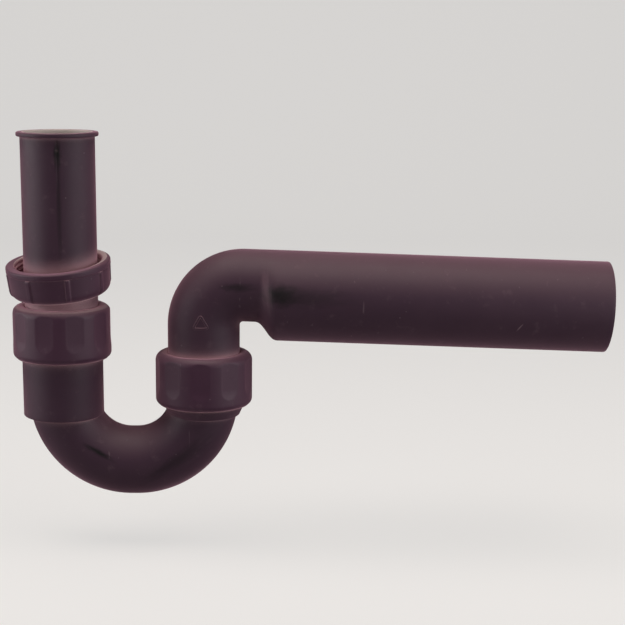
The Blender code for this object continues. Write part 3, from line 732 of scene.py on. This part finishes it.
def outlet_rows(inset, columns):
    """Rows from the leg's foot to the pipe's end, inset millimetres inside its outer skin."""
    leg = LEG_RADIUS - inset
    foot, elbow_z = BEND_TOP + SLACK, BEND_TOP + LEG_ABOVE_SOCKET
    upward = math.pi / 2
    ends = ((0.0, 0.75), (0.25, 0.25), (0.8, 0)) if inset == 0 else ((0.0, -0.3), (0.3, 0))
    rows = [across(ARM_SPACING, foot + rise, upward, leg - cut, columns) for rise, cut in ends]
    rows += [across(ARM_SPACING, z, upward, leg, columns) for z in np.linspace(foot + 2, elbow_z - 1.2, 12)]
    for i in range(ELBOW_ROWS + 1):
        heading = upward - (upward + FALL) * i / ELBOW_ROWS
        x = ARM_SPACING + ELBOW_RADIUS * (1 - math.sin(heading))
        z = elbow_z + ELBOW_RADIUS * math.cos(heading)
        rows.append(across(x, z, heading, leg, columns))
    end = NECK + WIDENING + PIPE_LENGTH
    runs = [NECK * i / 6 for i in range(1, 6)]
    runs += [NECK + WIDENING * i / WIDENING_ROWS for i in range(WIDENING_ROWS + 1)]
    runs += list(np.linspace(NECK + WIDENING + 2, end - 2, 50)) + [end - 0.5]
    for run in runs:
        share = min(max((run - NECK) / WIDENING, 0), 1)
        growth = (PIPE_RADIUS - LEG_RADIUS) * share**3 * (10 - 15 * share + 6 * share**2)
        rows.append(outlet_row(x, z, run, growth, leg + growth, columns))
    cuts = ((0.15, 0.1), (0.0, 0.4)) if inset == 0 else ((0.12, -0.08), (0.0, -0.35))
    rows += [outlet_row(x, z, end - short, growth, leg + growth - cut, columns) for short, cut in cuts]
    return rows


def outlet_row(x, z, run, growth, radius, columns):
    """A row run mm along the falling pipe, whose centre sinks by growth so that its top stays flush."""
    centre_x = x + run * math.cos(FALL) - growth * math.sin(FALL)
    centre_z = z - run * math.sin(FALL) - growth * math.cos(FALL)
    return across(centre_x, centre_z, -FALL, radius, columns)


columns = all_round(224)
rows = np.array(outlet_rows(0, columns)[::-1] + outlet_rows(OUTLET_WALL, columns))
moulding("outlet_elbow_moulding", rows, "outlet_elbow", "outlet_elbow", pipe_plastic)

# %% [markdown]
# The raised triangle
# The tool had a small triangle cut in it, which stands proud of the leg. It is a low bar bent round the
# leg and closed on itself, so its ends need no caps: one section is carried along a triangle with rounded
# corners.

# %% Raise the triangle
TRIANGLE_SIDE, TRIANGLE_ROUND, TRIANGLE_BAR, TRIANGLE_PROUD = 8.4, 0.7, 1.1, 0.28
TRIANGLE_ASIDE, TRIANGLE_Z = -0.9, -101.6
path = []
for corner in range(3):
    towards = math.radians(90 + 120 * corner)
    reach = TRIANGLE_SIDE / math.sqrt(3) - 2 * TRIANGLE_ROUND
    centre = (reach * math.cos(towards), reach * math.sin(towards))
    path += round_edge(centre, TRIANGLE_ROUND, 30 + 120 * corner, 150 + 120 * corner)
path = np.array(finely(path + path[:1], 0.5)[:-1])
along = np.roll(path, -1, 0) - np.roll(path, 1, 0)
along /= np.linalg.norm(along, axis=1)[:, None]
outward = np.stack([along[:, 1], -along[:, 0]], -1)
bar = round_edge((0, 0), 1, 180, 0, 8) + [(0.9, -0.9), (-0.9, -0.9)]
rows = []
for side, proud in bar:
    flat = path + outward * side * TRIANGLE_BAR / 2
    turn, reach = (flat[:, 0] + TRIANGLE_ASIDE) / LEG_RADIUS, LEG_RADIUS + proud * TRIANGLE_PROUD
    x, y = ARM_SPACING + reach * np.sin(turn), -reach * np.cos(turn)
    rows.append(np.stack([x, y, TRIANGLE_Z + flat[:, 1]], -1))
moulding("raised_triangle", np.array(rows), "outlet_elbow", None, pipe_plastic)

# %% [markdown]
# The floor and the backdrop
# A pale sheet lies under the trap and curves up far behind it, so no edge shows. It lies low enough for
# the bend to come down on its joint. The camera sees it bright by a little light of its own, so no lamp
# has to reach it. The grey that it throws back on the trap is chosen apart, and reflections see it darker
# still, as the photograph's dark fronts want.

# %% Build the pale floor
FLOOR_HALF, FLOOR_FRONT, FLOOR_BACK = 2200.0, -1600.0, 2000.0
SWEEP_RADIUS, BACKDROP_HEIGHT = 600.0, 2400.0
BEND_DROP = 30.0  # how far the inlet_height joint lets the bend down
FLOOR_GAP = 0.5
PAPER_GLOW = 0.68  # seen by the camera alone
floor_z = cad_low.z / MM - BEND_DROP - FLOOR_GAP
sweep_y = FLOOR_BACK - SWEEP_RADIUS
line = [(FLOOR_FRONT, floor_z), (sweep_y, floor_z)]
line += round_edge((sweep_y, floor_z + SWEEP_RADIUS), SWEEP_RADIUS, -90, 0, 24)[1:]
line += [(FLOOR_BACK, floor_z + BACKDROP_HEIGHT)]
points = [(side * FLOOR_HALF * MM, y * MM, z * MM) for y, z in line for side in (-1, 1)]
faces = [(i, i + 1, i + 3, i + 2) for i in range(0, len(points) - 2, 2)]
sheet = bpy.data.meshes.new("pale_floor")
sheet.from_pydata(points, [], faces)
sheet.shade_smooth()
floor = bpy.data.objects.new("pale_floor", sheet)
bpy.context.scene.collection.objects.link(floor)
paper = bpy.data.materials.new("matt_pale_paper")
paper.use_nodes = True
tree = paper.node_tree
shader = tree.nodes["Principled BSDF"]
shader.inputs["Roughness"].default_value = 0.9
ray = add_node(tree, "ShaderNodeLightPath").outputs
thrown = mixed(tree, ray["Is Glossy Ray"], linear("#a4a4a4"), linear("#484848"))
tone = mixed(tree, ray["Is Camera Ray"], thrown, linear("#8c8a88"))
tree.links.new(tone, shader.inputs["Base Color"])
shader.inputs["Emission Color"].default_value = linear("#f4f2f0")
lift = calculated(tree, "MULTIPLY", ray["Is Camera Ray"], PAPER_GLOW)
tree.links.new(lift, shader.inputs["Emission Strength"])
sheet.materials.append(paper)
print("the floor lies at", round(floor_z, 1), "mm")

# %% [markdown]
# Soft studio light
# Satin plastic shows its shape by the broad sheen of large lamps. A large, slightly warm lamp hangs
# overhead, and a white one stands at each side, a little to the front. A dim world fills in what is left,
# and the camera sees it pale from every side. Together they light a surface so that its colour renders
# about as it was written.

# %% Hang the lamps
def soft_lamp(name, place, aim, width, height, watts):
    """Hangs a large lamp at place and turns it to aim. Lengths are in metres here."""
    lamp = bpy.data.objects.new(name, bpy.data.lights.new(name, "AREA"))
    lamp.data.shape = "RECTANGLE"
    lamp.data.size, lamp.data.size_y, lamp.data.energy = width, height, watts
    lamp.location = place
    lamp.rotation_mode = "QUATERNION"
    lamp.rotation_quaternion = (Vector(aim) - Vector(place)).to_track_quat("-Z", "Y")
    bpy.context.scene.collection.objects.link(lamp)
    return lamp


OVERHEAD_TINT = (1, 0.92, 0.86)
SKY_FOOT, SKY_TOP = 0.001, 0.015
SEEN_SKY = 0.72  # the background's tone for the camera
middle = (0.13, 0, -0.1)
overhead = soft_lamp("overhead_lamp", (0.05, -0.17, 0.96), middle, 1.3, 0.9, 9)
overhead.data.color = OVERHEAD_TINT
soft_lamp("left_lamp", (-0.9, -0.15, 0.08), (0, 0, -0.1), 0.8, 0.5, 4.4)
soft_lamp("right_lamp", (1.0, -0.4, 0.08), (0.1, 0, -0.12), 1.1, 0.5, 4.9)
world = bpy.data.worlds.new("dim_room")
world.use_nodes = True
tree = world.node_tree
gaze = add_node(tree, "ShaderNodeTexCoord").outputs["Generated"]
height = add_node(tree, "ShaderNodeSeparateXYZ", {0: gaze}).outputs["Z"]
seen = add_node(tree, "ShaderNodeLightPath").outputs["Is Camera Ray"]
glow = stretched(tree, height, 0.0, 0.8, SKY_FOOT, SKY_TOP)
air = add_node(tree, "ShaderNodeMix", {0: seen, 2: glow, 3: SEEN_SKY})
tree.links.new(air.outputs[0], tree.nodes["Background"].inputs["Strength"])
tree.nodes["Background"].inputs["Color"].default_value = linear("#fffefc")
bpy.context.scene.world = world
bpy.context.scene.view_settings.view_transform = "Standard"
print("lamps:", [lamp.name for lamp in bpy.data.lights])
